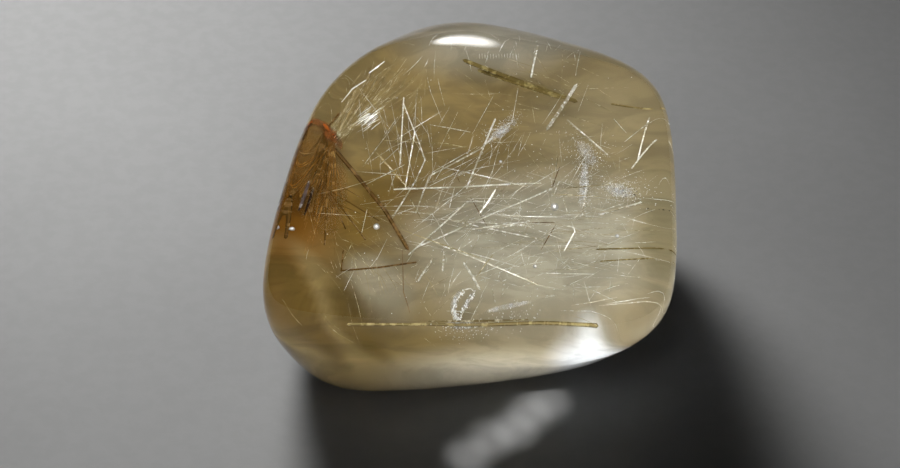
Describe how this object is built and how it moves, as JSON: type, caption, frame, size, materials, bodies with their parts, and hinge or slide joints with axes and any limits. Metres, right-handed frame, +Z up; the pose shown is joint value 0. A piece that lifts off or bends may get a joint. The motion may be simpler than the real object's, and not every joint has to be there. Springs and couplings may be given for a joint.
{
  "type": "rutilated quartz pebble",
  "caption": "Tumbled, polished pebble of clear tan quartz with a broad slanted window face and a flat foot, with brown rutile rods and pale golden needles sealed inside.",
  "frame": {"origin": "middle of the pebble's box, on the flat foot that it rests on", "axes": "+Z up out of the foot, -Y the way that the window face looks as it slants up, +X to the right of the window"},
  "size_m": [0.0248, 0.0244, 0.0164],
  "materials": {
    "quartz": "tumbled and polished, clear with a tan tint",
    "brown_rutile": "brown, metallic lustre, striated along its length",
    "pale_rutile": "pale gold to silver, bright metallic lustre"
  },
  "bodies": {
    "root": {"quartz_upper": "quartz", "quartz_lower": "quartz", "brown_rod": "brown_rutile", "brown_spray": "brown_rutile", "edge_blade": "brown_rutile", "elbow_needle": "brown_rutile", "long_needle": "brown_rutile", "side_needle_upper": "brown_rutile", "side_needle_lower": "brown_rutile", "roof_blades": "brown_rutile", "roof_needle": "brown_rutile", "left_net": "pale_rutile", "bent_needle": "pale_rutile", "middle_net": "pale_rutile", "fork_needles": "pale_rutile", "flat_needles": "pale_rutile", "slant_needle": "pale_rutile", "pale_blade": "pale_rutile", "crown_needle": "pale_rutile", "right_needle": "pale_rutile", "edge_needle": "pale_rutile", "corner_needles": "pale_rutile", "splinter_left": "pale_rutile", "splinter_middle": "pale_rutile", "splinter_right": "pale_rutile"}
  },
  "joints": []
}
